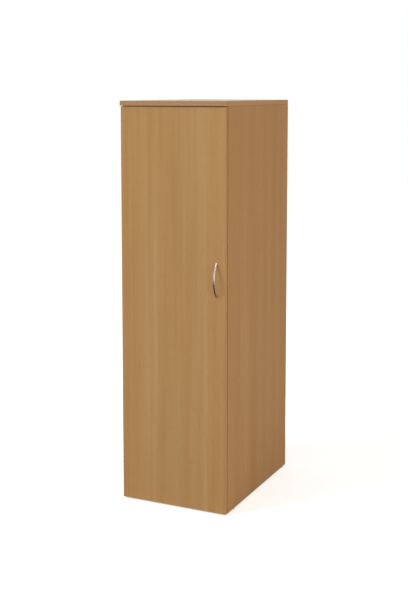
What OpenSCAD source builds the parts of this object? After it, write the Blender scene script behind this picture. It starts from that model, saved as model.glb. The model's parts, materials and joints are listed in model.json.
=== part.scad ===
// Single-door wardrobe in beech-effect board, with a bow handle, concealed hinges, a hat shelf and a rail.
// Millimetres. The origin is on the floor, under the middle of the whole: +X to its right, +Y to its back.

/* [Cabinet] */
// Height from the floor to the top
cabinet_h = 1800; // [1500:5:2100]
// Width over the side panels
cabinet_w = 510; // [400:1:700]
// Depth of a side panel
side_d = 697.5; // [450:0.5:750]
// Thickness of the sides, base, shelf and plinth
board_t = 18; // [16:0.5:22]
// Thickness of the top panel
top_t = 22; // [18:0.5:30]
// How far the top panel stands proud of the door
top_nose = 5.5; // [0:0.5:15]
// Thickness of the edging on the door and the top panel
band_t = 2; // [0.8:0.1:3]
// Thickness of the other edging
edge_t = 1; // [0.6:0.1:2]
// Height of the plinth panel
plinth_h = 60; // [50:1:120]
// Setback of the plinth from the front of the sides
plinth_set = 30; // [15:1:60]
// Height of the nail-in floor glides
glide_h = 5; // [3:0.5:8]
// Diameter of a floor glide
glide_dia = 16; // [12:0.5:16]
// From the plinth or the back panel to the middle of a floor glide
glide_in = 25; // [12:1:80]

/* [Back panel] */
// Thickness of the back panel
back_t = 3; // [2.5:0.1:6]
// From the back edge of a side panel to the back panel
back_in = 12; // [6:0.5:25]
// Depth of the grooves that hold it
groove_d = 7; // [4:0.5:9]
// Clearance on each face in the grooves
groove_gap = 0.15; // [0.05:0.05:0.4]

/* [Door] */
// Thickness of the door
door_t = 18; // [16:0.5:22]
// Space between the door and the front of the sides
door_gap = 2.5; // [2:0.1:4]
// How far each door edge lies inside the cabinet's width
door_inset = 1; // [0:0.1:3]
// Height of the door's lower edge above that of the sides
door_lift = 1; // [0:0.5:10]
// Gap between the door and the top panel
top_gap = 2.5; // [2:0.5:8]
// From the end of the door to the end hinge's centre
hinge_in = 115; // [90:1:200]
// Diameter of a door buffer
buffer_dia = 9; // [6:0.5:12]

/* [Handle] */
// Length of the bow over its ends
handle_l = 144; // [125:1:220]
// Distance between the handle's two screws
handle_pitch = 128; // [96:32:160]
// How far the bow stands out from the door
handle_proj = 30; // [22:0.5:40]
// Width of the bow
handle_w = 9; // [7:0.5:14]
// Thickness of the bow
handle_t = 5; // [4:0.5:7]
// Height of the handle's middle above the floor
handle_z = 1036; // [800:1:1200]
// From the door's edge to the handle's middle
handle_in = 43.5; // [30:0.5:80]

/* [Interior] */
// Clear height between the hat shelf and the top panel
hat_space = 300; // [200:5:400]
// Setback of the hat shelf
shelf_set = 10; // [0:1:40]
// From the hat shelf to the rail's middle
rail_drop = 45; // [35:1:80]
// Height of the oval rail
rail_h = 30; // [25:0.5:35]
// Width of the oval rail
rail_w = 15; // [12:0.5:20]
// Wall of the rail
rail_wall = 1; // [0.8:0.1:1.5]

/* [Fixings] */
// From the panel's end to the middle of a cam
cam_in = 24; // [22:1:34]
// Diameter of a cam
cam_dia = 15; // [12:0.5:15]
// Diameter of a wooden dowel
dowel_dia = 8; // [6:0.5:8]
// Length of a wooden dowel
dowel_l = 35; // [25:1:40]
// Radial clearance round pins and fixings
fit = 0.05; // [0.03:0.01:0.1]

/* [Hinge] */
// Diameter of the hinge cup
cup_dia = 35; // [35:0.5:36]
// Depth of the hinge cup
cup_depth = 12.5; // [12:0.1:13]
// Cup middle beyond the inner face of the side panel
cup_past = 5.5; // [5:0.1:7]
// Distance between the two plate screws
plate_pitch = 32; // [32:1:36]
// Plate screws behind the front of the side panel
plate_back = 37; // [32:1:45]

/* [Hidden] */
$fn = 48;

beech = [0.68, 0.52, 0.35];
beech_side = [0.63, 0.47, 0.31];
nickel = [0.75, 0.74, 0.72];
chrome = [0.82, 0.83, 0.85];
plastic = [0.35, 0.27, 0.20];

// Cabinet
total_d = handle_proj + door_t + door_gap + side_d;
front_y = -total_d / 2 + handle_proj + door_t + door_gap;
back_y = front_y + side_d;
inner_w = cabinet_w - 2 * board_t;
side_top = cabinet_h - top_t;
top_front = front_y - door_gap - door_t - top_nose;
back_front = back_y - back_in - back_t;
groove_hold = groove_d - 0.5;
base_z = glide_h + plinth_h;
shelf_z = side_top - hat_space - board_t;
plinth_front = front_y + plinth_set;
glide_ys = [plinth_front + board_t + glide_in, back_front - glide_in];

// Door
door_front = front_y - door_gap - door_t;
door_back = front_y - door_gap;
door_w = cabinet_w - 2 * door_inset;
door_z = glide_h + door_lift;
door_h = side_top - top_gap - door_z;
hinge_zs = [door_z + hinge_in, door_z + door_h / 2, door_z + door_h - hinge_in];
handle_x = cabinet_w / 2 - door_inset - handle_in;
buffer_x = cabinet_w / 2 - board_t / 2;
buffer_in = 25;
buffer_zs = [door_z + buffer_in, door_z + door_h - buffer_in];
buffer_t = door_gap - 0.2;
buffer_taper = 2;

// Handle
bow_rise = handle_proj - handle_t / 2;
bow_r = (pow(handle_l / 2, 2) + pow(bow_rise, 2)) / (2 * bow_rise);
bow_sink = bow_r - bow_rise;
foot_h = sqrt(pow(bow_r, 2) - pow(handle_pitch / 2, 2)) - bow_sink;
handle_screw_r = 2;
handle_screw_head = 2.2;
handle_screw_short = 1.5;
handle_screw_play = 0.5;
bow_lap = 8;

// Rail
rail_z = shelf_z - rail_drop;
rail_y = (front_y + back_front) / 2;
socket_t = 2;
socket_depth = 12;
socket_foot = 14;
socket_h = rail_h + 2 * socket_foot;
socket_screw_off = 7.5;
socket_screw = rail_h / 2 + socket_screw_off;
socket_rim = 3;
socket_wall = 1.6;
socket_play = 0.2;
rail_play = 0.5;

// Fixings
fix_in = 60;
fix_ys = [front_y + fix_in, back_front - fix_in];
dowel_apart = 32;
dowel_ys = [front_y + fix_in + dowel_apart, back_front - fix_in - dowel_apart];
end_play = 0.5;
bolt_thread = 11;
bolt_bore = 8;
bolt_r = 2.5;
bolt_collar_r = 3.75;
bolt_collar_t = 3;
bolt_shank_r = 3;
bolt_neck_r = 2;
bolt_head_t = 2.5;
dowel_set = 12;
cam_depth = board_t / 2 + 3.5;
cam_low = 0.2;
cam_slot = [7.5, 1.3, 3];
pin_dia = 1.6;
pin_l = 20;
pin_head = 3.5;
pin_head_t = 0.6;
glide_bevel = 1;
nail_l = 16;
nail_r = 1;
screw_dia = 3.5;
screw_l = 14;
screw_head = 7;
recess_share = 0.55;
recess_w = 0.9;
recess_d = 1.3;
plate_screw_dia = 6;
plate_screw_l = 13.5;
plate_screw_head = 9;
bracket_w = 30;
bracket_leg = 32;
bracket_t = 2;
bracket_mid = bracket_leg / 2;
bracket_pitch = 16;
bracket_hole = 6.5;

// Hinge, in plan from the side panel's outer front corner: x into the cabinet, y to its back
cup_x = board_t + cup_past;
cup_wall = 1.2;
flange_t = 1.2;
flange_pitch = 45;
flange_off = 9.5;
flange_rim = 1.5;
ear_dia = 11;
ear_root = 26;
cup_play = 0.1;
arm_pin = [board_t + 17.1, 5.6];
nose_pin = [board_t + 10.5, -7.5];
cup_pin = [cup_x - 11.9, -door_gap - 1.4];
slack_pin = [cup_x - 9.9, -door_gap - 4.5];
outer_bend = [cup_x - 2.2, -door_gap - 4.8];
inner_bend = [cup_x - 1.5, -door_gap - 8];
slack_mid = slack_pin + [0.2, 0.45];
slack_hole = 2.05;
pivot_r = 0.8;
pivot_play = 0.04;
arm_pivot_r = 1.1;
strap_w = 1.4;
eye_r = 1.5;
root_r = 2.6;
root_w = 4;
inner_half = 3.4;
inner_root_r = 1.8;
inner_eye_r = 1;
nose_z = 3.7;
nose_t = 1.3;
nose_back = board_t + 6.5;
nose_eye_r = 1.9;
cheek_z = 5.3;
cheek_t = 1.4;
post_z = 7;
post_t = 1.4;
post_floor = -door_gap - cup_depth + 0.3;
post_x = cup_x - 14.4;
plate_t = 2.5;
plate_w = 13;
plate_h = plate_pitch + 16;
rib_x = board_t + 10;
rib_half = 6.3;
rib_front = 16;
rib_rear = 22;
rib_y = [plate_back - rib_front, plate_back + rib_rear];
rib_ramp = [3, 1];
rib_slope = [5, 2];
arm_wall = 1.2;
arm_web_t = 1.5;
arm_foot = board_t + plate_t + 0.5;
arm_low = rib_x + arm_web_t;
arm_top = board_t + 15;
arm_half = 8;
arm_front = 14;
arm_bend = [30, 50];
arm_end = 62;
arm_screw_y = 56;
arm_screw_r = 1.8;
arm_screw_head_r = 3.6;
arm_screw_head_t = 1.6;
arm_screw_l = 8.5;
arm_slot_r = 2.2;
set_screw_y = 25;
set_screw_r = 2.6;
set_screw_up = 0.6;

// Shared shapes

module block(x0, x1, y0, y1, z0, z1) {
    translate([x0, y0, z0]) cube([x1 - x0, y1 - y0, z1 - z0]);
}

// A bar with round ends, standing along Y of the drawing plane
module stadium(w, h) {
    square([w, h - w], center = true);
    for (s = [-1, 1]) translate([0, s * (h - w) / 2]) circle(d = w);
}

// A straight stretch between two points, with its own width at each end
module taper(p, q, wp, wq) {
    v = (q - p) / norm(q - p);
    n = [-v.y, v.x];
    polygon([p + n * wp / 2, p - n * wp / 2, q - n * wq / 2, q + n * wq / 2]);
}

module disc_at(p, r) {
    translate(p) circle(r = r);
}

// Countersunk screw along -Z, its head's face at z = 0; grow gives the hole that it sits in
module countersunk(d, l, head, grow = 0) {
    cone = (head - d) / 2;
    difference() {
        union() {
            translate([0, 0, -cone]) cylinder(h = cone, d1 = d + 2 * grow, d2 = head + 2 * grow);
            translate([0, 0, -l - grow]) cylinder(h = l + grow, d = d + 2 * grow);
            if (grow > 0) cylinder(h = 2, d = head + 2 * grow);
        }
        if (grow == 0) cross_recess(head * recess_share);
    }
}

// Cross for a screwdriver, cut into a head whose face is at z = 0
module cross_recess(l) {
    for (a = [0, 90]) rotate(a) cube([l, recess_w, 2 * recess_d], center = true);
}

// Edging strip along Z with both outer arrises rounded: outer face at x = 0, the board's thickness along Y
module band(l, t) {
    linear_extrude(l) intersection() {
        square([band_t, t]);
        union() {
            translate([0, band_t]) square([band_t, t - 2 * band_t]);
            for (y = [band_t, t - band_t]) disc_at([band_t, y], band_t);
        }
    }
}

// Small chipboard screw, for the cups, the rail and the wall bracket
module board_screw(grow = 0) {
    countersunk(screw_dia, screw_l, screw_head, grow);
}

// Stout screw of a hinge plate
module plate_screw(grow = 0) {
    countersunk(plate_screw_dia, plate_screw_l, plate_screw_head, grow);
}

// Places of the fixings

// Along the ends of a level board: X points into the board
module board_ends(z, ys) {
    for (s = [-1, 1], y = ys)
        translate([s * inner_w / 2, y, z]) rotate(s < 0 ? 0 : 180) children();
}

// Down into the top edges of the sides: -Z points to the inside
module top_ends(ys) {
    for (s = [-1, 1], y = ys)
        translate([s * (cabinet_w - board_t) / 2, y, side_top]) rotate([0, 90, 0])
            rotate([s < 0 ? 180 : 0, 0, 0]) children();
}

module plinth_ends(drops) {
    for (s = [-1, 1], d = drops)
        translate([s * inner_w / 2, plinth_front + board_t / 2, glide_h + plinth_h / 2 + d])
            rotate([0, s < 0 ? 0 : 180, 0]) rotate([90, 0, 0]) children();
}

module base_fixings() {
    board_ends(base_z + board_t / 2, fix_ys) children(0);
    board_ends(base_z + board_t / 2, dowel_ys) children(1);
}

module shelf_fixings() {
    board_ends(shelf_z + board_t / 2, fix_ys) children(0);
    board_ends(shelf_z + board_t / 2, dowel_ys) children(1);
}

module top_fixings() {
    top_ends(fix_ys) children(0);
    top_ends(dowel_ys) children(1);
}

module plinth_fixings() {
    plinth_ends([0]) children(0);
    plinth_ends([-plinth_h / 3, plinth_h / 3]) children(1);
}

// Fixings, each with X into the board that holds the cam

module cam_bolt() {
    rotate([0, 90, 0]) {
        translate([0, 0, -bolt_thread]) cylinder(h = bolt_thread, r = bolt_r);
        cylinder(h = bolt_collar_t, r = bolt_collar_r);
        cylinder(h = cam_in - bolt_head_t - 1.5, r = bolt_shank_r);
        cylinder(h = cam_in, r = bolt_neck_r);
        translate([0, 0, cam_in - bolt_head_t / 2]) cylinder(h = bolt_head_t, r = bolt_shank_r);
    }
}

module cam_housing() {
    difference() {
        translate([cam_in, 0, -board_t / 2 + cam_low])
            cylinder(h = cam_depth - cam_low - fit, d = cam_dia - 2 * fit);
        translate([cam_in / 2, 0, 0]) rotate([0, 90, 0]) cylinder(h = cam_in / 2 + 2, d = bolt_bore);
        translate([cam_in, 0, -board_t / 2]) for (a = [45, 135]) rotate(a) cube(cam_slot, center = true);
    }
}

module wood_dowel(grow = 0) {
    rotate([0, 90, 0]) translate([0, 0, -dowel_set - grow])
        cylinder(h = dowel_l + 2 * grow, r = dowel_dia / 2 - fit + 2 * min(grow, fit));
}

module cam_cut() {
    rotate([0, 90, 0]) {
        translate([0, 0, -bolt_thread - end_play]) cylinder(h = bolt_thread + 1, r = bolt_r + fit);
        cylinder(h = cam_in, d = bolt_bore);
    }
    translate([cam_in, 0, -board_t / 2 - 1]) cylinder(h = cam_depth + 1, d = cam_dia);
}

module dowel_cut() {
    wood_dowel(end_play);
}

// Carcass

module groove_cut() {
    half = inner_w / 2 + groove_d;
    block(-half, half, back_front - groove_gap, back_front + back_t + groove_gap,
        glide_h - 1, side_top + groove_d);
}

module side_board(s) {
    x0 = s < 0 ? -cabinet_w / 2 : inner_w / 2;
    difference() {
        block(x0, x0 + board_t, front_y + edge_t, back_y, glide_h, side_top);
        groove_cut();
        base_fixings() { cam_cut(); dowel_cut(); }
        shelf_fixings() { cam_cut(); dowel_cut(); }
        top_fixings() { cam_cut(); dowel_cut(); }
        plinth_fixings() { cam_cut(); dowel_cut(); }
        rail_screw_places() board_screw(fit);
        glide_places() translate([0, 0, -1]) cylinder(h = nail_l + 1.5, r = nail_r + fit);
        if (s < 0) plate_screw_places() plate_screw(fit);
    }
}

module side_panel_left() {
    color(beech_side) side_board(-1);
}

module side_panel_right() {
    color(beech_side) side_board(1);
}

module side_edging(s) {
    x0 = s < 0 ? -cabinet_w / 2 : inner_w / 2;
    color(beech_side) block(x0, x0 + board_t, front_y, front_y + edge_t, glide_h, side_top);
}

module top_panel() {
    color(beech) difference() {
        block(-cabinet_w / 2 + band_t, cabinet_w / 2 - band_t, top_front + band_t, back_y, side_top, cabinet_h);
        groove_cut();
        top_fixings() { cam_cut(); dowel_cut(); }
        bracket_screw_places() board_screw(fit);
    }
}

// One strip along the front and one along each end
module top_edging() {
    color(beech) {
        translate([-cabinet_w / 2, top_front, side_top]) rotate([90, 0, 90]) band(cabinet_w, top_t);
        for (s = [0, 1]) mirror([s, 0, 0]) translate([-cabinet_w / 2, back_y, side_top])
            rotate([90, 0, 0]) band(back_y - top_front - band_t, top_t);
    }
}

module base_panel() {
    color(beech_side) difference() {
        block(-inner_w / 2, inner_w / 2, front_y + edge_t, back_front, base_z, base_z + board_t);
        base_fixings() { cam_cut(); dowel_cut(); }
        back_pin_places() back_pin(fit);
    }
}

module base_edging() {
    color(beech_side) block(-inner_w / 2, inner_w / 2, front_y, front_y + edge_t, base_z, base_z + board_t);
}

module hat_shelf() {
    color(beech_side) difference() {
        block(-inner_w / 2, inner_w / 2, front_y + shelf_set + edge_t, back_front, shelf_z, shelf_z + board_t);
        shelf_fixings() { cam_cut(); dowel_cut(); }
        back_pin_places() back_pin(fit);
    }
}

module shelf_edging() {
    y = front_y + shelf_set;
    color(beech_side) block(-inner_w / 2, inner_w / 2, y, y + edge_t, shelf_z, shelf_z + board_t);
}

module plinth_panel() {
    color(beech_side) difference() {
        block(-inner_w / 2, inner_w / 2, plinth_front, plinth_front + board_t, glide_h, base_z);
        plinth_fixings() { cam_cut(); dowel_cut(); }
    }
}

module back_panel() {
    half = inner_w / 2 + groove_hold;
    color(beech_side) difference() {
        block(-half, half, back_front, back_front + back_t, base_z, side_top + groove_hold);
        back_pin_places() back_pin(fit);
        bracket_hole_place() cylinder(h = back_t + 2, d = bracket_hole + 0.5);
    }
}

module cam_bolts() {
    color(chrome) {
        base_fixings() { cam_bolt(); union() {} }
        shelf_fixings() { cam_bolt(); union() {} }
        top_fixings() { cam_bolt(); union() {} }
        plinth_fixings() { cam_bolt(); union() {} }
    }
}

module cam_housings() {
    color(chrome) {
        base_fixings() { cam_housing(); union() {} }
        shelf_fixings() { cam_housing(); union() {} }
        top_fixings() { cam_housing(); union() {} }
        plinth_fixings() { cam_housing(); union() {} }
    }
}

module wood_dowels() {
    color("tan") {
        base_fixings() { union() {} wood_dowel(); }
        shelf_fixings() { union() {} wood_dowel(); }
        top_fixings() { union() {} wood_dowel(); }
        plinth_fixings() { union() {} wood_dowel(); }
    }
}

module back_pin_places() {
    for (z = [base_z, shelf_z], x = [-inner_w / 3, 0, inner_w / 3])
        translate([x, back_front + back_t, z + board_t / 2]) rotate([-90, 0, 0]) children();
}

module back_pin(grow = 0) {
    translate([0, 0, -pin_l - grow]) cylinder(h = pin_l + grow, d = pin_dia + 2 * grow);
    if (grow == 0) cylinder(h = pin_head_t, d = pin_head);
}

module back_pins() {
    color(nickel) back_pin_places() back_pin();
}

module glide_places() {
    for (s = [-1, 1], y = glide_ys) translate([s * (cabinet_w - board_t) / 2, y, glide_h]) children();
}

module floor_glide(n) {
    x = (n % 2 == 0 ? -1 : 1) * (cabinet_w - board_t) / 2;
    color(plastic) translate([x, glide_ys[n < 2 ? 0 : 1], 0]) {
        cylinder(h = glide_bevel, d1 = glide_dia - 2 * glide_bevel, d2 = glide_dia);
        translate([0, 0, glide_bevel]) cylinder(h = glide_h - glide_bevel, d = glide_dia);
        cylinder(h = glide_h + nail_l, r = nail_r);
    }
}

// Rail

module rail_outline(grow = 0) {
    stadium(rail_w + 2 * grow, rail_h + 2 * grow);
}

// Along X, from a side panel's inner face
module rail_frame(s) {
    translate([s * inner_w / 2, rail_y, rail_z]) rotate([90, 0, s < 0 ? 90 : -90]) children();
}

module hanging_rail() {
    l = inner_w - 2 * socket_t - 2 * rail_play;
    color(chrome) translate([-l / 2, rail_y, rail_z]) rotate([90, 0, 90]) linear_extrude(l) difference() {
        rail_outline();
        rail_outline(-rail_wall);
    }
}

module rail_socket(s) {
    color(chrome) rail_frame(s) difference() {
        union() {
            linear_extrude(socket_t) stadium(rail_w + 2 * socket_rim, socket_h);
            linear_extrude(socket_depth) rail_outline(socket_wall);
        }
        translate([0, 0, socket_t]) linear_extrude(socket_depth) rail_outline(socket_play);
        for (z = [-1, 1]) translate([0, z * socket_screw, socket_t]) board_screw(fit);
    }
}

module rail_screw_places() {
    for (s = [-1, 1], z = [-1, 1]) rail_frame(s) translate([0, z * socket_screw, socket_t]) children();
}

module rail_screws() {
    color(nickel) rail_screw_places() board_screw();
}

// Wall bracket under the top panel, its upright leg against the back panel

module bracket_hole_place() {
    translate([0, back_front + back_t + 1, side_top - bracket_mid - bracket_t]) rotate([90, 0, 0]) children();
}

module bracket_screw_places() {
    for (s = [-1, 1]) translate([s * bracket_pitch / 2, back_front - bracket_mid - bracket_t, side_top - bracket_t])
        rotate([180, 0, 0]) children();
}

module wall_bracket() {
    color(nickel) difference() {
        union() {
            block(-bracket_w / 2, bracket_w / 2, back_front - bracket_leg, back_front,
                side_top - bracket_t, side_top);
            block(-bracket_w / 2, bracket_w / 2, back_front - bracket_t, back_front,
                side_top - bracket_leg, side_top);
        }
        bracket_hole_place() cylinder(h = back_t + bracket_t + 2, d = bracket_hole);
        bracket_screw_places() board_screw(fit);
    }
}

module wall_bracket_screws() {
    color(nickel) bracket_screw_places() board_screw();
}

// Door

module door_panel() {
    half = door_w / 2 - band_t;
    color(beech) difference() {
        block(-half, half, door_front, door_back, door_z + band_t, door_z + door_h - band_t);
        for (z = hinge_zs) hinge_frame(z) translate([cup_x, -door_gap + 1, 0]) rotate([90, 0, 0])
            cylinder(h = cup_depth + 1.1, d = cup_dia + 2 * fit);
        cup_screw_places() board_screw(fit);
        handle_screw_places() translate([0, 0, -door_t - 1])
            cylinder(h = door_t + 2, r = handle_screw_r + handle_screw_play);
    }
}

// The upright strips run over the ends of the level ones
module door_edging() {
    half = door_w / 2;
    level = door_w - 2 * band_t;
    color(beech) {
        for (s = [0, 1]) mirror([s, 0, 0]) translate([-half, door_front, door_z]) band(door_h, door_t);
        translate([half - band_t, door_front, door_z]) rotate([0, -90, 0]) band(level, door_t);
        translate([band_t - half, door_front, door_z + door_h]) rotate([0, 90, 0]) band(level, door_t);
    }
}

module door_buffers() {
    color("whitesmoke") for (z = buffer_zs) translate([buffer_x, door_back, z]) rotate([-90, 0, 0])
        cylinder(h = buffer_t, d1 = buffer_dia, d2 = buffer_dia - buffer_taper);
}

// Handle: a bow that follows an arc, cut flat where it meets the door

module bow_section() {
    r = handle_t / 2 - 0.01;
    square([handle_t, handle_w - 2 * r], center = true);
    for (s = [-1, 1]) translate([0, s * (handle_w / 2 - r)]) circle(r = r);
}

module bow_handle() {
    sweep = 2 * asin(handle_l / 2 / bow_r) + bow_lap;
    color(nickel) translate([handle_x, door_front + bow_sink, handle_z]) difference() {
        union() {
            rotate([0, -90, 0]) rotate(-90 - sweep / 2)
                rotate_extrude(angle = sweep, $fn = 96) translate([bow_r, 0]) bow_section();
            for (s = [-1, 1]) translate([0, -bow_sink, s * handle_pitch / 2]) rotate([90, 0, 0])
                cylinder(h = foot_h, d = handle_w);
        }
        translate([-handle_w, -bow_sink - fit, -handle_l]) cube([2 * handle_w, bow_r, 2 * handle_l]);
        for (s = [-1, 1]) translate([0, -bow_sink + 1, s * handle_pitch / 2]) rotate([90, 0, 0])
            cylinder(h = foot_h + end_play, r = handle_screw_r + fit);
    }
}

// Screws through the door into the bow, Z to the inside
module handle_screw_places() {
    for (s = [-1, 1]) translate([handle_x, door_back, handle_z + s * handle_pitch / 2])
        rotate([-90, 0, 0]) children();
}

module handle_screws() {
    color(nickel) handle_screw_places() difference() {
        union() {
            translate([0, 0, -door_t - foot_h + handle_screw_short])
                cylinder(h = door_t + foot_h - handle_screw_short, r = handle_screw_r);
            cylinder(h = handle_screw_head, r = 2 * handle_screw_r);
        }
        translate([0, 0, handle_screw_head]) cross_recess(screw_head * recess_share);
    }
}

// Concealed hinge: plate and arm on the side, cup in the door, two links between them

module hinge_frame(z) {
    translate([-cabinet_w / 2, front_y, z]) children();
}

module plate_screw_places() {
    for (z = hinge_zs, s = [-1, 1]) hinge_frame(z)
        translate([board_t + plate_t, plate_back, s * plate_pitch / 2]) rotate([0, 90, 0]) children();
}

module cup_screw_places() {
    for (z = hinge_zs, s = [-1, 1]) hinge_frame(z)
        translate([cup_x + flange_off, -door_gap + flange_t, s * flange_pitch / 2])
            rotate([-90, 0, 0]) children();
}

// Wings for the two screws, and a raised rib that the arm rides on
module hinge_plate(n) {
    color(nickel) difference() {
        hinge_frame(hinge_zs[n]) {
            translate([board_t, plate_back, 0]) rotate([90, 0, 90])
                linear_extrude(plate_t) stadium(plate_w, plate_h);
            linear_extrude(2 * rib_half, center = true)
                polygon([[board_t, rib_y[0]], [rib_x - rib_ramp.x, rib_y[0]], [rib_x, rib_y[0] + rib_ramp.y],
                    [rib_x, rib_y[1] - rib_slope.y], [rib_x - rib_slope.x, rib_y[1]], [board_t, rib_y[1]]]);
        }
        plate_screw_places() plate_screw(fit);
        hinge_frame(hinge_zs[n]) arm_screw_place()
            translate([0, 0, -arm_screw_l - end_play]) cylinder(h = arm_screw_l + 1, r = arm_screw_r + fit);
    }
}

// The fixing screw near the arm's end, and the adjusting screw near its front, Z out of the arm
module arm_screw_place() {
    translate([arm_low, arm_screw_y, 0]) rotate([0, 90, 0]) children();
}

module set_screw_place() {
    translate([rib_x, set_screw_y, 0]) rotate([0, 90, 0]) children();
}

// Pressed channel over the plate's rib, open to the side panel, with the nose that carries both links
module hinge_arm(n) {
    color(nickel) hinge_frame(hinge_zs[n]) difference() {
        union() {
            linear_extrude(2 * arm_half, center = true)
                polygon([[arm_top, arm_front], [arm_top, arm_bend[0]], [arm_low, arm_bend[1]], [arm_low, arm_end],
                    [rib_x, arm_end], [rib_x, arm_bend[1]], [arm_top - arm_web_t, arm_bend[0]],
                    [arm_top - arm_web_t, arm_front]]);
            for (s = [-1, 1]) translate([0, 0, s * (arm_half - arm_wall / 2)])
                linear_extrude(arm_wall, center = true)
                    polygon([[arm_foot, arm_front], [arm_top, arm_front], [arm_top, arm_bend[0]],
                        [arm_low, arm_bend[1]], [arm_low, arm_end], [arm_foot, arm_end]]);
            block(arm_foot, arm_top, arm_front, arm_front + arm_web_t, -arm_half, arm_half);
            for (s = [-1, 1]) translate([0, 0, s * (nose_z + nose_t / 2)])
                linear_extrude(nose_t, center = true) nose_profile();
        }
        arm_screw_place() {
            cylinder(h = 3 * arm_web_t, r = arm_slot_r, center = true);
            block(-arm_slot_r, arm_slot_r, 0, arm_end - arm_screw_y + 1, -2 * arm_web_t, 2 * arm_web_t);
        }
        set_screw_place() cylinder(h = arm_top, r = set_screw_r + fit);
    }
}

module nose_profile() {
    difference() {
        union() {
            polygon([nose_pin + [-1.6, 1], nose_pin + [1.6, -1], arm_pin + [2.2, -1], [arm_top, arm_front + 1],
                [nose_back, arm_front + 1], [nose_back + 1, 4]]);
            disc_at(nose_pin, nose_eye_r);
            disc_at(arm_pin, root_r);
        }
        disc_at(nose_pin, arm_pivot_r + fit);
        disc_at(arm_pin, arm_pivot_r + fit);
    }
}

module hinge_cup(n) {
    color(nickel) difference() {
        hinge_frame(hinge_zs[n]) {
            difference() {
                union() {
                    cup_slice(-cup_depth + cup_play, 0) circle(d = cup_dia - 2 * fit);
                    cup_slice(0, flange_t) flange_outline();
                }
                cup_slice(-cup_depth + cup_wall, flange_t + 1) circle(d = cup_dia - 2 * cup_wall);
            }
            for (s = [-1, 1]) translate([0, 0, s * (post_z + post_t / 2)])
                linear_extrude(post_t, center = true) post_profile();
        }
        cup_screw_places() board_screw(fit);
    }
}

// A slice of the cup between two heights over the door's inner face
module cup_slice(h0, h1) {
    translate([cup_x, -door_gap + h0, 0]) rotate([-90, 0, 0]) linear_extrude(h1 - h0) children();
}

module flange_outline() {
    circle(d = cup_dia + 2 * flange_rim);
    for (s = [-1, 1]) {
        translate([flange_off, s * flange_pitch / 2]) circle(d = ear_dia);
        taper([0, s * cup_dia / 4], [flange_off, s * flange_pitch / 2], ear_root, ear_dia);
    }
}

module post_profile() {
    difference() {
        polygon([[post_x, post_floor], [post_x, -door_gap], [cup_pin.x + 2, -door_gap],
            [slack_mid.x + 2.9, slack_mid.y], [slack_mid.x + 3.5, post_floor]]);
        disc_at(cup_pin, pivot_r + pivot_play);
        disc_at(slack_mid, slack_hole);
    }
}

// Long link: two cheeks outside the arm's nose, turning on the arm, with stub pins in the cup
module hinge_outer_link(n) {
    color(nickel) hinge_frame(hinge_zs[n]) {
        for (s = [-1, 1]) translate([0, 0, s * (cheek_z + cheek_t / 2)]) {
            linear_extrude(cheek_t, center = true) {
                disc_at(cup_pin, eye_r);
                taper(cup_pin, outer_bend, strap_w, strap_w);
                disc_at(outer_bend, strap_w / 2);
                taper(outer_bend, arm_pin, strap_w, root_w);
                disc_at(arm_pin, root_r);
            }
            translate([cup_pin.x, cup_pin.y, 0]) cylinder(h = 2 * (post_z + post_t - cheek_z) - cheek_t,
                r = pivot_r, center = true);
        }
        translate([arm_pin.x, arm_pin.y, 0]) cylinder(h = 2 * (cheek_z + cheek_t), r = arm_pivot_r, center = true);
    }
}

// Short link: a strap between the nose's cheeks, its far pin loose in the cup
module hinge_inner_link(n) {
    color(nickel) hinge_frame(hinge_zs[n]) {
        linear_extrude(2 * inner_half, center = true) {
            disc_at(nose_pin, inner_root_r);
            taper(nose_pin, inner_bend, strap_w, strap_w);
            disc_at(inner_bend, strap_w / 2);
            taper(inner_bend, slack_pin, strap_w, strap_w);
            disc_at(slack_pin, inner_eye_r);
        }
        translate([nose_pin.x, nose_pin.y, 0]) cylinder(h = 2 * (nose_z + nose_t), r = arm_pivot_r, center = true);
        translate([slack_pin.x, slack_pin.y, 0]) cylinder(h = 2 * (post_z + post_t), r = pivot_r, center = true);
    }
}

module plate_screws() {
    color(nickel) plate_screw_places() plate_screw();
}

module arm_screws() {
    color(nickel) for (z = hinge_zs) hinge_frame(z) {
        arm_screw_place() difference() {
            union() {
                translate([0, 0, -arm_screw_l]) cylinder(h = arm_screw_l, r = arm_screw_r);
                cylinder(h = arm_screw_head_t, r = arm_screw_head_r);
            }
            translate([0, 0, arm_screw_head_t]) cross_recess(arm_screw_head_r);
        }
        set_screw_place() difference() {
            cylinder(h = arm_top - rib_x + set_screw_up, r = set_screw_r);
            translate([0, 0, arm_top - rib_x + set_screw_up]) cross_recess(arm_screw_head_r);
        }
    }
}

module cup_screws() {
    color(nickel) cup_screw_places() board_screw();
}

side_panel_left();
side_panel_right();
top_panel();
base_panel();
plinth_panel();
back_panel();
hat_shelf();
side_edging(-1);  // side_edging_left
side_edging(1);  // side_edging_right
top_edging();
base_edging();
shelf_edging();
door_panel();
door_edging();
bow_handle();
handle_screws();
door_buffers();
hanging_rail();
rail_socket(-1);  // rail_socket_left
rail_socket(1);  // rail_socket_right
rail_screws();
cam_bolts();
cam_housings();
wood_dowels();
back_pins();
floor_glide(0);  // floor_glide_1
floor_glide(1);  // floor_glide_2
floor_glide(2);  // floor_glide_3
floor_glide(3);  // floor_glide_4
wall_bracket();
wall_bracket_screws();
hinge_plate(0);  // hinge_plate_1
hinge_plate(1);  // hinge_plate_2
hinge_plate(2);  // hinge_plate_3
hinge_arm(0);  // hinge_arm_1
hinge_arm(1);  // hinge_arm_2
hinge_arm(2);  // hinge_arm_3
hinge_cup(0);  // hinge_cup_1
hinge_cup(1);  // hinge_cup_2
hinge_cup(2);  // hinge_cup_3
hinge_outer_link(0);  // hinge_outer_link_1
hinge_outer_link(1);  // hinge_outer_link_2
hinge_outer_link(2);  // hinge_outer_link_3
hinge_inner_link(0);  // hinge_inner_link_1
hinge_inner_link(1);  // hinge_inner_link_2
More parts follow.
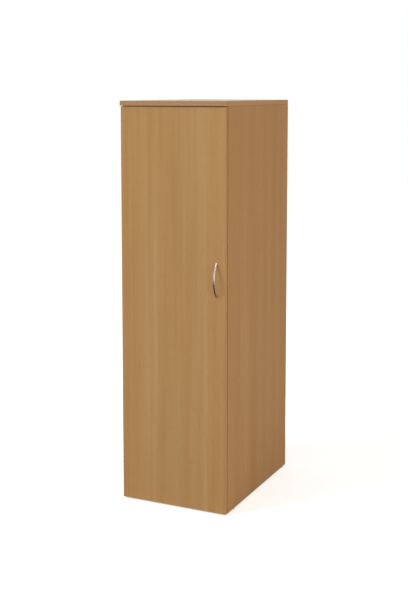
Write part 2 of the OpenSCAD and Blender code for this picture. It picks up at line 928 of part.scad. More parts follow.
hinge_inner_link(2);  // hinge_inner_link_3
plate_screws();
arm_screws();
cup_screws();
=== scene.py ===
# Dresses the single-door wardrobe: beech-effect boards with printed edge bands, a satin nickel bow handle,
# concealed hinges and the fittings inside.
import json
import math

import bpy
from mathutils import Matrix, Vector

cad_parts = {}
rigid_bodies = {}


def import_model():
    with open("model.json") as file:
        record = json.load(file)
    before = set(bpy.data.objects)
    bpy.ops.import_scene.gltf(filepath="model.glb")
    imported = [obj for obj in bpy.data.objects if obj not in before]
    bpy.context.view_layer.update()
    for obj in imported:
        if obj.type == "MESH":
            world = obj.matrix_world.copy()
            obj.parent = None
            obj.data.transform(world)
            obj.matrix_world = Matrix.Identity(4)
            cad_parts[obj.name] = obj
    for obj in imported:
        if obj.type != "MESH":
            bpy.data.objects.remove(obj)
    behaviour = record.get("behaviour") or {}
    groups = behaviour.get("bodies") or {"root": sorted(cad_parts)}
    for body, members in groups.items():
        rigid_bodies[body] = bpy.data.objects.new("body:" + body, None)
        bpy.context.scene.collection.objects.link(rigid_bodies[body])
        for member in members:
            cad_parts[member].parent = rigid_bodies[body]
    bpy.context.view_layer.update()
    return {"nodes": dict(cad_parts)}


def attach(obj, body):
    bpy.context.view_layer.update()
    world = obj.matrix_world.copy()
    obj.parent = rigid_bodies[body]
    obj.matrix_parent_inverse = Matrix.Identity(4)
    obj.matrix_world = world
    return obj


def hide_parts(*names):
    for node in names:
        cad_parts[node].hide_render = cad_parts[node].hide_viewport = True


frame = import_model()
cadNodes = frame["nodes"]
print("frame:", len(cadNodes), "pieces")


def linearColour(hexText):
    # sRGB hex to the linear colour that a socket takes
    channels = [int(hexText[i:i + 2], 16) / 255 for i in (1, 3, 5)]
    return [c / 12.92 if c <= 0.04045 else ((c + 0.055) / 1.055) ** 2.4 for c in channels] + [1]


def setInputs(tree, node, inputs):
    # by socket name or number: a value, another node's output, or a node for its first output
    for socket, value in inputs.items():
        if isinstance(value, bpy.types.Node):
            value = value.outputs[0]
        if isinstance(value, bpy.types.NodeSocket):
            tree.links.new(value, node.inputs[socket])
        else:
            node.inputs[socket].default_value = value


def addNode(tree, kind, inputs=None, **settings):
    node = tree.nodes.new(kind)
    for name, value in settings.items():
        setattr(node, name, value)
    setInputs(tree, node, inputs or {})
    return node


# Camera, at the photograph's eye height and to the wardrobe's right
cameraLook = {
    "place": (2.1101, -4.4688, 1.845),
    "turn": 25.4,  # degrees to the left of straight at the door
    "down": 5.798,
    "sensor": 36,
    "lens": 63.14,
    "shiftUp": -0.1749,
}


def placeCamera(look):
    bpy.ops.object.camera_add(location=look["place"])
    camera = bpy.context.object
    camera.rotation_euler = (math.radians(90 - look["down"]), 0, math.radians(look["turn"]))
    camera.data.sensor_width = look["sensor"]
    camera.data.lens = look["lens"]
    camera.data.shift_y = look["shiftUp"]
    bpy.context.scene.camera = camera


placeCamera(cameraLook)
print("camera: set")


# Studio: white sky and floor, a soft key from the upper left, a fill from the right, a small lamp overhead
studio = {
    "white": "#FFFFFF",
    "sky": 0.45,            # what the sky gives to diffuse surfaces; the camera sees it white
    "floorTone": "#F6F2EC",
    "floorLift": 0.62,      # what the camera sees on top of the floor's own light
    "floorSize": (30, 30),
    "floorPlace": (0, 0, -0.0005),
    "cardTone": "#4C331C",  # painted reflection: a dark brown sheet on the floor in front, which only reflections see, so the handle's lower half reflects dark
    "cardSize": (9.0, 6.0),
    "cardPlace": (-0.5, -3.4, 0.0005),
}
lampsAimAt = (0, -0.1, 0.9)
lamps = {
    "keySoftBox": {"place": (-6.4, -6.7, 8.2), "size": 4.5, "power": 630, "mirrored": False},
    "fillSoftBox": {"place": (5.5, -3.6, 0.8), "size": 3.0, "power": 104, "mirrored": True},
    # its reflection is the bright spot at the handle's upper end
    "overheadLamp": {"place": (-2.25, -1.95, 6.2), "size": 1.2, "power": 38, "mirrored": True},
}


def seenDirectly(tree):
    # 1 for a ray from the camera, a reflection or a refraction, 0 for a ray that carries light
    path = addNode(tree, "ShaderNodeLightPath").outputs
    mirror = addNode(tree, "ShaderNodeMath", {0: path["Is Glossy Ray"], 1: path["Is Transmission Ray"]},
                     operation="MAXIMUM")
    return addNode(tree, "ShaderNodeMath", {0: path["Is Camera Ray"], 1: mirror}, operation="MAXIMUM")


def makeSky(look):
    world = bpy.data.worlds.new("studioSky")
    bpy.context.scene.world = world
    world.use_nodes = True
    tree = world.node_tree
    strength = addNode(tree, "ShaderNodeMapRange",
                       {"Value": seenDirectly(tree), "To Min": look["sky"], "To Max": 1.0})
    setInputs(tree, tree.nodes["Background"], {"Color": linearColour(look["white"]), "Strength": strength})


def layPlane(name, finish, tone, size, place):
    # a level plane, the node tree of its finish and the matt shader that the finish starts from
    bpy.ops.mesh.primitive_plane_add(size=1, location=place)
    plane = bpy.context.object
    plane.name = name
    plane.scale = (*size, 1)
    material = bpy.data.materials.new(finish)
    material.use_nodes = True
    plane.data.materials.append(material)
    tree = material.node_tree
    tree.nodes.clear()
    return plane, tree, addNode(tree, "ShaderNodeBsdfDiffuse", {"Color": linearColour(tone)})


def makeFloor(look):
    floor, tree, paint = layPlane("studioFloor", "palePaintedFloor", look["floorTone"], look["floorSize"],
                                  look["floorPlace"])
    lift = addNode(tree, "ShaderNodeMath", {0: seenDirectly(tree), 1: look["floorLift"]},
                   operation="MULTIPLY")
    glow = addNode(tree, "ShaderNodeEmission", {"Color": linearColour(look["white"]), "Strength": lift})
    both = addNode(tree, "ShaderNodeAddShader", {0: paint, 1: glow})
    addNode(tree, "ShaderNodeOutputMaterial", {"Surface": both})


def makePaintedReflectionCard(look):
    card, tree, reflectedDark = layPlane("paintedReflectionCard", "darkBrownCloth", look["cardTone"], look["cardSize"],
                                 look["cardPlace"])
    addNode(tree, "ShaderNodeOutputMaterial", {"Surface": reflectedDark})
    # painted reflection: the sheet is hidden from the camera, from lit surfaces and from shadows, so it
    # shows only in reflections
    for ray in ("camera", "diffuse", "transmission", "volume_scatter", "shadow"):
        setattr(card, "visible_" + ray, False)


def addSoftBox(name, look, aim):
    bpy.ops.object.light_add(type="AREA", location=look["place"])
    lamp = bpy.context.object
    lamp.name = name
    lamp.rotation_euler = (Vector(aim) - Vector(look["place"])).to_track_quat("-Z", "Y").to_euler()
    lamp.data.shape = "DISK"
    lamp.data.size = look["size"]
    lamp.data.energy = look["power"]
    lamp.visible_glossy = look["mirrored"]


makeSky(studio)
makeFloor(studio)
makePaintedReflectionCard(studio)
for lampName, lampLook in lamps.items():
    addSoftBox(lampName, lampLook, lampsAimAt)
bpy.context.scene.view_settings.view_transform = "Standard"
print("studio: set")


# Finishes. Sizes of patterns are in millimetres. cutAt is a piece's own place in its pattern, which makes
# each board different.
drift = (1, 1.7, 0.6)  # how that place counts along the three axes
noiseSpan = {"From Min": 0.3, "From Max": 0.7}  # nearly all that a noise texture gives
squareTo = 0.5  # share of a normal along an axis, past which a face is square to it


def startMaterial(name):
    # a material, its node tree and the coordinates that its patterns lie on
    material = bpy.data.materials.new(name)
    material.use_nodes = True
    tree = material.node_tree
    return material, tree, addNode(tree, "ShaderNodeTexCoord").outputs


def stretchedNoise(tree, coords, size, axis, cutAt, shift=0, detail=2.0, wander=0.0):
    # spots as wide and as long as size says, long along the axis; 0 to 1 around 0.5
    wide, long = size
    scale = [1000 / wide] * 3
    scale["XYZ".index(axis)] = 1000 / long
    place = addNode(tree, "ShaderNodeMapping",
                    {"Vector": coords, "Scale": scale,
                     "Location": [(cutAt + shift) * share for share in drift]})
    return addNode(tree, "ShaderNodeTexNoise",
                   {"Vector": place, "Scale": 1.0, "Detail": detail, "Distortion": wander})


# Melamine foil printed with steamed beech: soft upright bands, fine fibres and short dark flecks
beechFoil = {
    "dark": "#A88150",
    "light": "#B29061",
    "rose": "#AD8455",
    "fleck": "#8C6338",
    "figure": (100, 6000),  # width and length of this layer's spots, as for the four below
    "bands": (34, 1500),
    "roseBands": (30, 800),
    "fibres": (12, 320),
    "flecks": (4.5, 34),    # 0.5 by 4 mm on real beech, drawn coarser so that they show
    "toneRange": {"From Min": 0.71, "From Max": 1.29},  # of figure and bands together, from dark to light
    "roseRange": {"From Min": 0.45, "From Max": 0.57, "To Max": 0.5},
    "fibreRange": {**noiseSpan, "To Min": 0.972, "To Max": 1.028},
    "fleckRange": {"From Min": 0.58, "From Max": 0.72, "To Max": 0.2},
    "roughness": 0.48,
    "gloss": 0.2,
    "emboss": {"Strength": 0.6, "Distance": 0.00004},
}
beechLayers = {
    # how far each layer is moved from the others, and how fine and how wavy it is
    "figure": {"shift": 0, "detail": 1.5},
    "bands": {"shift": 7, "detail": 3.0, "wander": 0.15},
    "roseBands": {"shift": 19, "detail": 1.0},
    "fibres": {"shift": 31, "detail": 2.0},
    "flecks": {"shift": 43, "detail": 1.0},
}


def beechPrint(tree, look, coords, axis, cutAt):
    # the print's colour, and its fibres for the embossing
    layers = {name: stretchedNoise(tree, coords, look[name], axis, cutAt, **settings)
              for name, settings in beechLayers.items()}
    tone = addNode(tree, "ShaderNodeMath", {0: layers["figure"], 1: layers["bands"]}, operation="ADD")
    shade = addNode(tree, "ShaderNodeMapRange", {"Value": tone, **look["toneRange"]})
    wood = addNode(tree, "ShaderNodeMixRGB",
                   {"Fac": shade, "Color1": linearColour(look["dark"]),
                    "Color2": linearColour(look["light"])})
    rose = addNode(tree, "ShaderNodeMapRange", {"Value": layers["roseBands"], **look["roseRange"]})
    wood = addNode(tree, "ShaderNodeMixRGB",
                   {"Fac": rose, "Color1": wood, "Color2": linearColour(look["rose"])})
    fibres = addNode(tree, "ShaderNodeMapRange", {"Value": layers["fibres"], **look["fibreRange"]})
    wood = addNode(tree, "ShaderNodeMixRGB", {"Fac": 1.0, "Color1": wood, "Color2": fibres},
                   blend_type="MULTIPLY")
    flecks = addNode(tree, "ShaderNodeMapRange", {"Value": layers["flecks"], **look["fleckRange"]})
    wood = addNode(tree, "ShaderNodeMixRGB",
                   {"Fac": flecks, "Color1": wood, "Color2": linearColour(look["fleck"])})
    if "heart" in look:
        # crown-cut figure: paler along the middle of the board, browner towards its sides
        across = addNode(tree, "ShaderNodeSeparateXYZ", {0: coords}).outputs["XYZ".index(look["heartAxis"])]
        away = addNode(tree, "ShaderNodeMath", {0: across}, operation="ABSOLUTE")
        aside = addNode(tree, "ShaderNodeMapRange", {"Value": away, **look["heart"]})
        browned = addNode(tree, "ShaderNodeMixRGB",
                          {"Fac": 1.0, "Color1": wood, "Color2": linearColour(look["sideTone"])},
                          blend_type="MULTIPLY")
        wood = addNode(tree, "ShaderNodeMixRGB", {"Fac": aside, "Color1": wood, "Color2": browned})
    return wood, layers["fibres"]


# Raw chipboard, where a board's edge is not banded: pressed chips with darker and paler ones among them
chipboard = {
    "pale": "#BE9A6C",
    "dark": "#8A6740",
    "chip": 2.2,
    "tear": 2.5,          # size of the raggedness of the chips' outlines
    "tearShare": 0.004,
    "roughness": 0.85,
}


def chipboardCore(tree, look, coords):
    tear = addNode(tree, "ShaderNodeTexNoise", {"Vector": coords, "Scale": 1000 / look["tear"]})
    place = addNode(tree, "ShaderNodeMixRGB",
                    {"Fac": look["tearShare"], "Color1": coords, "Color2": tear.outputs["Color"]},
                    blend_type="ADD")
    chips = addNode(tree, "ShaderNodeTexVoronoi", {"Vector": place, "Scale": 1000 / look["chip"]})
    shade = addNode(tree, "ShaderNodeSeparateColor", {0: chips.outputs["Color"]})
    return addNode(tree, "ShaderNodeMixRGB",
                   {"Fac": shade, "Color1": linearColour(look["dark"]),
                    "Color2": linearColour(look["pale"])})


def boardMaterial(name, look, faceAxis, grainAxis, cutAt):
    # foil on the two broad faces, raw chipboard on every face across them and in the bores
    material, tree, space = startMaterial(name)
    wood, fibres = beechPrint(tree, look, space["Object"], grainAxis, cutAt)
    core = chipboardCore(tree, chipboard, space["Object"])
    normal = addNode(tree, "ShaderNodeSeparateXYZ", {0: space["Normal"]})
    facing = addNode(tree, "ShaderNodeMath", {0: normal.outputs["XYZ".index(faceAxis)]},
                     operation="ABSOLUTE")
    foiled = addNode(tree, "ShaderNodeMath", {0: facing, 1: squareTo}, operation="GREATER_THAN")
    colour = addNode(tree, "ShaderNodeMixRGB", {"Fac": foiled, "Color1": core, "Color2": wood})
    roughness = addNode(tree, "ShaderNodeMapRange",
                        {"Value": foiled, "To Min": chipboard["roughness"], "To Max": look["roughness"]})
    setInputs(tree, tree.nodes["Principled BSDF"], {
        "Base Color": colour,
        "Roughness": roughness,
        "Specular IOR Level": look["gloss"],
        "Normal": addNode(tree, "ShaderNodeBump", {**look["emboss"], "Height": fibres}),
    })
    return material


# Hardboard: lacquered beech print towards the inside, bare brown fibres with a rough felted face behind
hardboard = {
    "pale": "#96704A",
    "dark": "#6F4E31",
    "fibre": (1.2, 5),
    "blotch": (90, 90),
    "feltRange": {"From Min": 0.7, "From Max": 1.3},  # of fibres and blotches together, from dark to pale
    "roughness": 0.9,
    "emboss": {"Strength": 0.5, "Distance": 0.0001},
}


def hardboardMaterial(name, look, bare, cutAt):
    material, tree, space = startMaterial(name)
    wood = beechPrint(tree, look, space["Object"], "Z", cutAt)[0]
    fibres = stretchedNoise(tree, space["Object"], bare["fibre"], "X", cutAt, detail=3.0, wander=1.5)
    blotches = stretchedNoise(tree, space["Object"], bare["blotch"], "Z", cutAt, shift=5)
    tone = addNode(tree, "ShaderNodeMath", {0: fibres, 1: blotches}, operation="ADD")
    shade = addNode(tree, "ShaderNodeMapRange", {"Value": tone, **bare["feltRange"]})
    felt = addNode(tree, "ShaderNodeMixRGB",
                   {"Fac": shade, "Color1": linearColour(bare["dark"]),
                    "Color2": linearColour(bare["pale"])})
    normal = addNode(tree, "ShaderNodeSeparateXYZ", {0: space["Normal"]})
    inside = addNode(tree, "ShaderNodeMath", {0: normal.outputs["Y"], 1: -squareTo}, operation="LESS_THAN")
    colour = addNode(tree, "ShaderNodeMixRGB", {"Fac": inside, "Color1": felt, "Color2": wood})
    roughness = addNode(tree, "ShaderNodeMapRange",
                        {"Value": inside, "To Min": bare["roughness"], "To Max": look["roughness"]})
    setInputs(tree, tree.nodes["Principled BSDF"], {
        "Base Color": colour,
        "Roughness": roughness,
        "Specular IOR Level": look["gloss"],
        "Normal": addNode(tree, "ShaderNodeBump", {**bare["emboss"], "Height": fibres}),
    })
    return material


sideLookShift = 3  # from the place in the print of a band's own look to that of its side look
turnAside = {"From Min": 0.6, "From Max": 0.8}  # share of a normal along X, where the side look comes in


def edgeBandMaterial(name, look, grainAxis, cutAt, sideLook=None, sideAxis="Z"):
    # printed plastic edge band: the same beech, plainer; sideLook is for strips that face left and right
    material, tree, space = startMaterial(name)
    wood, fibres = beechPrint(tree, look, space["Object"], grainAxis, cutAt)
    if sideLook:
        sideWood = beechPrint(tree, sideLook, space["Object"], sideAxis, cutAt + sideLookShift)[0]
        normal = addNode(tree, "ShaderNodeSeparateXYZ", {0: space["Normal"]})
        facing = addNode(tree, "ShaderNodeMath", {0: normal.outputs["X"]}, operation="ABSOLUTE")
        aside = addNode(tree, "ShaderNodeMapRange", {"Value": facing, **turnAside})
        wood = addNode(tree, "ShaderNodeMixRGB", {"Fac": aside, "Color1": wood, "Color2": sideWood})
    setInputs(tree, tree.nodes["Principled BSDF"], {
        "Base Color": wood,
        "Roughness": look["roughness"],
        "Specular IOR Level": look["gloss"],
        "Normal": addNode(tree, "ShaderNodeBump", {**look["emboss"], "Height": fibres}),
    })
    return material


# Satin nickel on a cast bow: a soft bright streak where it faces the light. Bright chrome is a near mirror,
# barrel-plated nickel a dull warm silver, and zinc plate a mottled bluish grey.
# Lines have a width and a length, and mottle is how much darker the darkest are.
satinNickel = {"tone": "#CBBDB4", "roughness": 0.34, "lines": (0.4, 14), "axis": "Z", "mottle": 0.08}
brightChrome = {"tone": "#D9DBDE", "roughness": 0.10, "lines": (0.5, 30), "axis": "X", "mottle": 0.03}
nickelPlate = {"tone": "#E0DDD6", "roughness": 0.46, "lines": (0.5, 9), "axis": "Z", "mottle": 0.06}
zincPlate = {"tone": "#B9BCBE", "roughness": 0.36, "lines": (0.6, 3), "axis": "Z", "mottle": 0.12}
platingCutAt = 3.0
smoothLine, roughLine = 0.8, 1.2  # shares of a metal's roughness on its smoothest and roughest lines


def platedMetal(name, look):
    # plated steel or zinc: fine lines from rolling or polishing, long along the axis
    material, tree, space = startMaterial(name)
    lines = stretchedNoise(tree, space["Object"], look["lines"], look["axis"], platingCutAt)
    mottle = addNode(tree, "ShaderNodeMapRange",
                     {"Value": lines, **noiseSpan, "To Min": 1 - look["mottle"]})
    colour = addNode(tree, "ShaderNodeMixRGB",
                     {"Fac": 1.0, "Color1": linearColour(look["tone"]), "Color2": mottle},
                     blend_type="MULTIPLY")
    roughness = addNode(tree, "ShaderNodeMapRange",
                        {"Value": lines, **noiseSpan, "To Min": look["roughness"] * smoothLine,
                         "To Max": look["roughness"] * roughLine})
    setInputs(tree, tree.nodes["Principled BSDF"],
              {"Metallic": 1.0, "Base Color": colour, "Roughness": roughness})
    return material


# Moulded plastics with the fine spark-eroded texture of their mould: brown polypropylene with a dull sheen,
# and milky soft polyurethane
mouldTexture = {
    "speckle": {**noiseSpan, "To Min": 0.93, "To Max": 1.03},
    "emboss": {"Strength": 0.5, "Distance": 0.00003},
}
glidePlastic = dict(mouldTexture, tone="#5A4332", roughness=0.5, grain=0.5)
bufferPlastic = dict(mouldTexture, tone="#DEDEDA", roughness=0.35, grain=0.8)


def mouldedPlastic(name, look):
    material, tree, space = startMaterial(name)
    grain = addNode(tree, "ShaderNodeTexNoise",
                    {"Vector": space["Object"], "Scale": 1000 / look["grain"], "Detail": 3.0})
    speckle = addNode(tree, "ShaderNodeMapRange", {"Value": grain, **look["speckle"]})
    colour = addNode(tree, "ShaderNodeMixRGB",
                     {"Fac": 1.0, "Color1": linearColour(look["tone"]), "Color2": speckle},
                     blend_type="MULTIPLY")
    setInputs(tree, tree.nodes["Principled BSDF"], {
        "Base Color": colour,
        "Roughness": look["roughness"],
        "Normal": addNode(tree, "ShaderNodeBump", {**look["emboss"], "Height": grain}),
    })
    return material


def dress(material, *names):
    for name in names:
        cadNodes[name].data.materials.clear()
        cadNodes[name].data.materials.append(material)


# Boards. The door's foil is crown-cut and paler along its middle. The carcass's copy is redder, which
# paints in the warm tone of the sides in shade, and duller.
doorFoil = dict(beechFoil, heartAxis="X", sideTone="#FFF9F2",
                heart={"From Min": 0.12, "From Max": 0.25})  # metres from the middle of the board
# painted shade: a redder copy of the print for the boards that face sideways or lie inside
shadeTintedFoil = dict(beechFoil, dark="#B2834E", light="#BB8D5B", rose="#B98754", gloss=0.05, bands=(90, 1800),
                   roseBands=(100, 1000))
topFoil = dict(beechFoil, roughness=0.36, gloss=0.5)  # polished by wiping: pale where the eye skims it
dress(boardMaterial("beechFoilDoor", doorFoil, faceAxis="Y", grainAxis="Z", cutAt=2.0), "door_panel")
dress(boardMaterial("beechFoilSides", shadeTintedFoil, faceAxis="X", grainAxis="Z", cutAt=11.0),
      "side_panel_left", "side_panel_right")
dress(boardMaterial("beechFoilTop", topFoil, faceAxis="Z", grainAxis="X", cutAt=5.0), "top_panel")
dress(boardMaterial("beechFoilShelves", shadeTintedFoil, faceAxis="Z", grainAxis="X", cutAt=23.0),
      "base_panel", "hat_shelf")
dress(boardMaterial("beechFoilPlinth", shadeTintedFoil, faceAxis="Y", grainAxis="X", cutAt=29.0),
      "plinth_panel")
dress(hardboardMaterial("hardboardBack", shadeTintedFoil, hardboard, cutAt=37.0), "back_panel")

# Edge bands, a little rougher than the foil and with finer flecks, and turned dowels, pale and matt
bandEmboss = {"Strength": 0.4, "Distance": 0.00004}
bandFoil = dict(beechFoil, flecks=(1.4, 9), roughness=0.5, gloss=0.12, emboss=bandEmboss)
# painted shade: band faces that turn left and right take the redder, shade-tinted copy
shadeTintedBandFoil = dict(shadeTintedFoil, flecks=(1.4, 9))
topBandFoil = dict(bandFoil, dark="#A17B54", light="#AD8763", rose="#AF8263")
rawBeech = dict(beechFoil, dark="#B9946A", light="#D2B088", roughness=0.7, emboss=bandEmboss)
dress(edgeBandMaterial("edgeBandUpright", bandFoil, "Z", cutAt=3.0),
      "side_edging_left", "side_edging_right")
dress(edgeBandMaterial("edgeBandDoor", bandFoil, "X", cutAt=13.0, sideLook=shadeTintedBandFoil), "door_edging")
dress(edgeBandMaterial("edgeBandTop", topBandFoil, "X", cutAt=8.0, sideLook=shadeTintedBandFoil, sideAxis="Y"),
      "top_edging")
dress(edgeBandMaterial("edgeBandLevel", bandFoil, "X", cutAt=17.0), "base_edging", "shelf_edging")
dress(edgeBandMaterial("rawBeechDowel", rawBeech, "X", cutAt=41.0), "wood_dowels")

# Fittings
hingeParts = ("plate", "arm", "cup", "outer_link", "inner_link")
dress(platedMetal("satinNickel", satinNickel), "bow_handle")
dress(platedMetal("brightChrome", brightChrome), "hanging_rail", "rail_socket_left", "rail_socket_right")
dress(platedMetal("nickelPlatedSteel", nickelPlate),
      *[f"hinge_{part}_{number}" for part in hingeParts for number in (1, 2, 3)])
dress(platedMetal("zincPlatedSteel", zincPlate),
      "handle_screws", "rail_screws", "wall_bracket", "wall_bracket_screws", "plate_screws", "arm_screws",
      "cup_screws", "back_pins", "cam_bolts", "cam_housings")
dress(mouldedPlastic("brownPolypropylene", glidePlastic),
      "floor_glide_1", "floor_glide_2", "floor_glide_3", "floor_glide_4")
dress(mouldedPlastic("clearSoftBuffer", bufferPlastic), "door_buffers")
print("finishes: dressed", len(cadNodes), "pieces")


# Modelling. Each piece is shaped in edit mode and its place is in its mesh.

def startPiece(name):
    # names the primitive that was just added, puts its place into its mesh and opens it for editing
    piece = bpy.context.object
    piece.name = name
    bpy.ops.object.transform_apply(location=True, rotation=True, scale=True)
    bpy.ops.object.mode_set(mode="EDIT")
    bpy.ops.mesh.select_mode(type="VERT")
    return piece


def pick(piece, test):
    # selects the corner points that pass the test, and what lies between them
    bpy.ops.mesh.select_all(action="DESELECT")
    bpy.ops.object.mode_set(mode="OBJECT")
    for point in piece.data.vertices:
        point.select = test(point.co)
    bpy.ops.object.mode_set(mode="EDIT")


def selectOnly(piece):
    bpy.ops.object.select_all(action="DESELECT")
    piece.select_set(True)
    bpy.context.view_layer.objects.active = piece


def bevelEdges(piece, width, segments, sharperThan, clamped=True):
    bevel = piece.modifiers.new("Bevel", "BEVEL")
    bevel.width = width
    bevel.segments = segments
    bevel.limit_method = "ANGLE"
    bevel.angle_limit = math.radians(sharperThan)
    bevel.use_clamp_overlap = clamped
    bpy.context.view_layer.objects.active = piece
    bpy.ops.object.modifier_apply(modifier=bevel.name)


def finishPiece(piece, finish, body, replaced, smoothTo=35):
    bpy.ops.object.mode_set(mode="OBJECT")
    selectOnly(piece)
    bpy.ops.object.shade_smooth_by_angle(angle=math.radians(smoothTo))
    piece.data.materials.clear()
    piece.data.materials.append(bpy.data.materials[finish])
    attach(piece, body)
    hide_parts(replaced)
    bpy.ops.object.select_all(action="DESELECT")


def copyPiece(piece, name, shift=(0, 0, 0), mirrored=False):
    # a copy with its own mesh, moved in its mesh, or mirrored left to right
    twin = bpy.data.objects.new(name, piece.data.copy())
    bpy.context.collection.objects.link(twin)
    twin.data.transform(Matrix.Translation(Vector(shift)))
    if mirrored:
        twin.data.transform(Matrix.Diagonal((-1, 1, 1, 1)))
        twin.data.flip_normals()
    return twin


# Bow handle: an oval section on an arc, cut flat on the door, with a boss under each end for its screw
bowHandle = {
    "x": 0.2105,
    "z": 1.036,
    "doorFace": -0.344,
    "length": 0.144,
    "rise": 0.0275,      # of the section's middle over the door
    "width": 0.009,
    "thick": 0.005,
    "middle": 0.00025,   # points nearer than this to the section's middle stay where they are
    "overrun": 4,        # degrees that the arc goes on past each end, to be cut off at the door
    "corners": 32,
    "steps": 96,
    "pitch": 0.128,
    "bossFoot": 0.0047,  # radii of a boss at the door and under the bow
    "bossTop": 0.0040,
    "near": 0.00001,     # points nearer than this are one, or lie on the door's face
}


def modelBowHandle(look):
    half = look["length"] / 2
    radius = (half ** 2 + look["rise"] ** 2) / (2 * look["rise"])
    centre = Vector((look["x"], look["doorFace"] + radius - look["rise"], look["z"]))
    reach = math.asin(half / radius) + math.radians(look["overrun"])
    tip = centre + Vector((0, -math.cos(reach), math.sin(reach))) * radius
    bpy.ops.object.select_all(action="DESELECT")
    bpy.ops.mesh.primitive_circle_add(vertices=look["corners"], radius=look["thick"] / 2, location=tip,
                                      rotation=(-reach, 0, 0))
    bow = startPiece("bowHandle")
    for side in (-1, 1):
        pick(bow, lambda co: (co.x - look["x"]) * side > look["middle"])
        bpy.ops.transform.translate(value=(side * (look["width"] - look["thick"]) / 2, 0, 0))
    bpy.ops.mesh.select_all(action="SELECT")
    bpy.ops.mesh.spin(steps=look["steps"], angle=-2 * reach, center=centre, axis=(1, 0, 0))
    bpy.ops.mesh.select_all(action="SELECT")
    bpy.ops.mesh.bisect(plane_co=(0, look["doorFace"], 0), plane_no=(0, 1, 0), clear_outer=True,
                        use_fill=True, threshold=look["near"])
    bossHeight = math.sqrt(radius ** 2 - (look["pitch"] / 2) ** 2) - radius + look["rise"]
    taper = look["bossTop"] / look["bossFoot"]
    for end in (-1, 1):
        bpy.ops.mesh.select_all(action="DESELECT")
        foot = Vector((look["x"], look["doorFace"], look["z"] + end * look["pitch"] / 2))
        bpy.ops.mesh.primitive_circle_add(vertices=look["corners"], radius=look["bossFoot"],
                                          fill_type="NGON", location=foot,
                                          rotation=(math.radians(90), 0, 0))
        bpy.ops.mesh.extrude_region_move(TRANSFORM_OT_translate={"value": (0, -bossHeight, 0)})
        bpy.ops.transform.resize(value=(taper, 1, taper), center_override=foot)
        bpy.ops.mesh.select_linked()
        bpy.ops.mesh.normals_make_consistent(inside=False)
        bpy.ops.mesh.intersect_boolean(operation="UNION", solver="EXACT")
    bpy.ops.mesh.select_all(action="SELECT")
    bpy.ops.mesh.remove_doubles(threshold=look["near"])
    # a union can divide the flat seat in a new way at each run, so each end's seat is made one face again
    pick(bow, lambda co: abs(co.y - look["doorFace"]) < look["near"])
    bpy.ops.mesh.dissolve_faces(use_verts=True)
    bpy.ops.mesh.select_all(action="SELECT")
    bpy.ops.mesh.normals_make_consistent(inside=False)
    return bow


finishPiece(modelBowHandle(bowHandle), "satinNickel", "door", "bow_handle")
print("handle: modelled")


# Floor glide: a moulded foot with a rolled rim, and the nail that holds it in the side panel's end
floorGlide = {
    "place": (-0.246, -0.2505, 0.0),
    "apart": (0.492, 0.5845),  # across and front to back
    "footRadius": 0.007,
    "radius": 0.008,
    "height": 0.005,
    "rim": 0.001,
    "roll": 0.0005,
    "nailRadius": 0.001,
    "nail": 0.016,
    "corners": 48,
}


def modelGlide(look):
    foot = Vector(look["place"])
    bpy.ops.mesh.primitive_circle_add(vertices=look["corners"], radius=look["footRadius"], fill_type="NGON",
                                      location=foot)
    glide = startPiece("floorGlide")
    flare = look["radius"] / look["footRadius"]
    bpy.ops.mesh.extrude_region_move(TRANSFORM_OT_translate={"value": (0, 0, look["rim"])})
    bpy.ops.transform.resize(value=(flare, flare, 1), center_override=foot)
    bpy.ops.mesh.extrude_region_move(TRANSFORM_OT_translate={"value": (0, 0, look["height"] - look["rim"])})
    bpy.ops.mesh.inset(thickness=look["radius"] - look["nailRadius"])
    bpy.ops.mesh.extrude_region_move(TRANSFORM_OT_translate={"value": (0, 0, look["nail"])})
    bpy.ops.mesh.select_all(action="SELECT")
    bpy.ops.mesh.normals_make_consistent(inside=False)
    bpy.ops.object.mode_set(mode="OBJECT")
    bevelEdges(glide, look["roll"], segments=3, sharperThan=30)
    return glide


bpy.ops.object.select_all(action="DESELECT")
firstGlide = modelGlide(floorGlide)
glideShifts = [(x, y, 0) for y in (0, floorGlide["apart"][1]) for x in (0, floorGlide["apart"][0])]
for number, shift in enumerate(glideShifts, 1):
    glide = firstGlide if number == 1 else copyPiece(firstGlide, f"floorGlide_{number}", shift)
    finishPiece(glide, "brownPolypropylene", "carcass", f"floor_glide_{number}")
print("glides: modelled")


# Door buffers: two clear domes stuck to the door's inner face, near its free corners
doorBuffer = {
    "place": (0.246, -0.326, 0.031),
    "apart": 1.7195,
    "radius": 0.0045,
    "thick": 0.0023,
    "rings": [(0.35, 0.97), (0.65, 0.85), (0.88, 0.62), (1.0, 0.28)],  # height and radius, as shares
    "corners": 32,
}


def modelBuffers(look):
    base = Vector(look["place"])
    bpy.ops.mesh.primitive_circle_add(vertices=look["corners"], radius=look["radius"], fill_type="NGON",
                                      location=base, rotation=(math.radians(-90), 0, 0))
    buffers = startPiece("domedBuffers")
    height, width = 0.0, 1.0
    for nextHeight, nextWidth in look["rings"]:
        rise = (nextHeight - height) * look["thick"]
        bpy.ops.mesh.extrude_region_move(TRANSFORM_OT_translate={"value": (0, rise, 0)})
        share = nextWidth / width
        bpy.ops.transform.resize(value=(share, 1, share), center_override=base)
        height, width = nextHeight, nextWidth
    bpy.ops.mesh.select_all(action="SELECT")
    bpy.ops.mesh.normals_make_consistent(inside=False)
    bpy.ops.mesh.duplicate_move(TRANSFORM_OT_translate={"value": (0, 0, look["apart"])})
    return buffers


bpy.ops.object.select_all(action="DESELECT")
finishPiece(modelBuffers(doorBuffer), "clearSoftBuffer", "door", "door_buffers",
            smoothTo=60)
print("buffers: modelled")


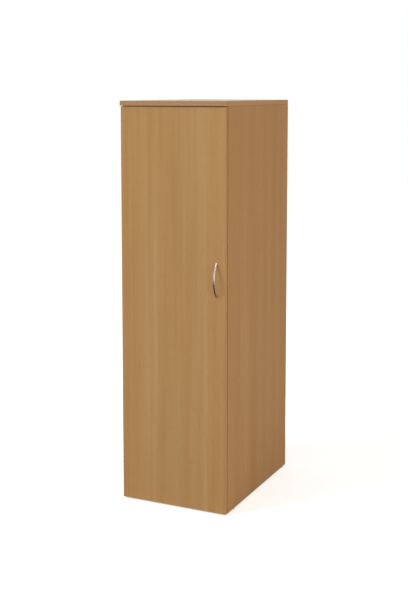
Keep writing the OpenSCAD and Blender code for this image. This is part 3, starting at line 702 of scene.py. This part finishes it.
# Pressed and cast fittings have no sharp edge. Each is rounded once, on a copy of its solid, then copied.
hingeSpacing = 0.76975
hingeSteps = [{"shift": (0, 0, number * hingeSpacing)} for number in range(3)]
roundedFittings = {
    "pressedPlate": {
        "solids": ["hinge_plate_1", "hinge_plate_2", "hinge_plate_3"],
        "steps": hingeSteps,  # how each is copied from the first
        "body": "carcass",
        "slot": "nickel_plate",
        "finish": "nickelPlatedSteel",
        "radius": 0.0005,
    },
    "pressedArm": {
        "solids": ["hinge_arm_1", "hinge_arm_2", "hinge_arm_3"],
        "steps": hingeSteps,
        "body": "carcass",
        "slot": "nickel_plate",
        "finish": "nickelPlatedSteel",
        "radius": 0.00025,
    },
    "deepDrawnCup": {
        "solids": ["hinge_cup_1", "hinge_cup_2", "hinge_cup_3"],
        "steps": hingeSteps,
        "body": "door",
        "slot": "nickel_plate",
        "finish": "nickelPlatedSteel",
        "radius": 0.0002,
    },
    "bentBracket": {
        "solids": ["wall_bracket"],
        "steps": [{}],
        "body": "carcass",
        "slot": "zinc_plate",
        "finish": "zincPlatedSteel",
        "radius": 0.0003,
    },
    "castSocket": {
        "solids": ["rail_socket_left", "rail_socket_right"],
        "steps": [{}, {"mirrored": True}],
        "body": "carcass",
        "slot": "chrome_rail",
        "finish": "brightChrome",
        "radius": 0.0002,
    },
}
rounding = {
    "merge": 0.000005,  # points nearer than this are one, as a solid's copy is loose triangles
    "flatTo": 2,        # degrees between triangles of one face
    "segments": 2,
    "sharperThan": 35,  # degrees at an edge that gets rounded
}


def roundEdges(name, solid, radius, look):
    piece = copyPiece(solid, name)
    selectOnly(piece)
    bpy.ops.object.mode_set(mode="EDIT")
    bpy.ops.mesh.select_all(action="SELECT")
    bpy.ops.mesh.remove_doubles(threshold=look["merge"])
    bpy.ops.mesh.dissolve_limited(angle_limit=math.radians(look["flatTo"]))
    bpy.ops.object.mode_set(mode="OBJECT")
    bevelEdges(piece, radius, look["segments"], look["sharperThan"], clamped=False)
    return piece


for fittingName, look in roundedFittings.items():
    first = roundEdges(fittingName, cadNodes[look["solids"][0]], look["radius"], rounding)
    for number, (solid, step) in enumerate(zip(look["solids"], look["steps"]), 1):
        piece = first if number == 1 else copyPiece(first, f"{fittingName}_{number}", **step)
        finishPiece(piece, look["finish"], look["body"], solid)
print("fittings: rounded", sum(len(look["solids"]) for look in roundedFittings.values()))
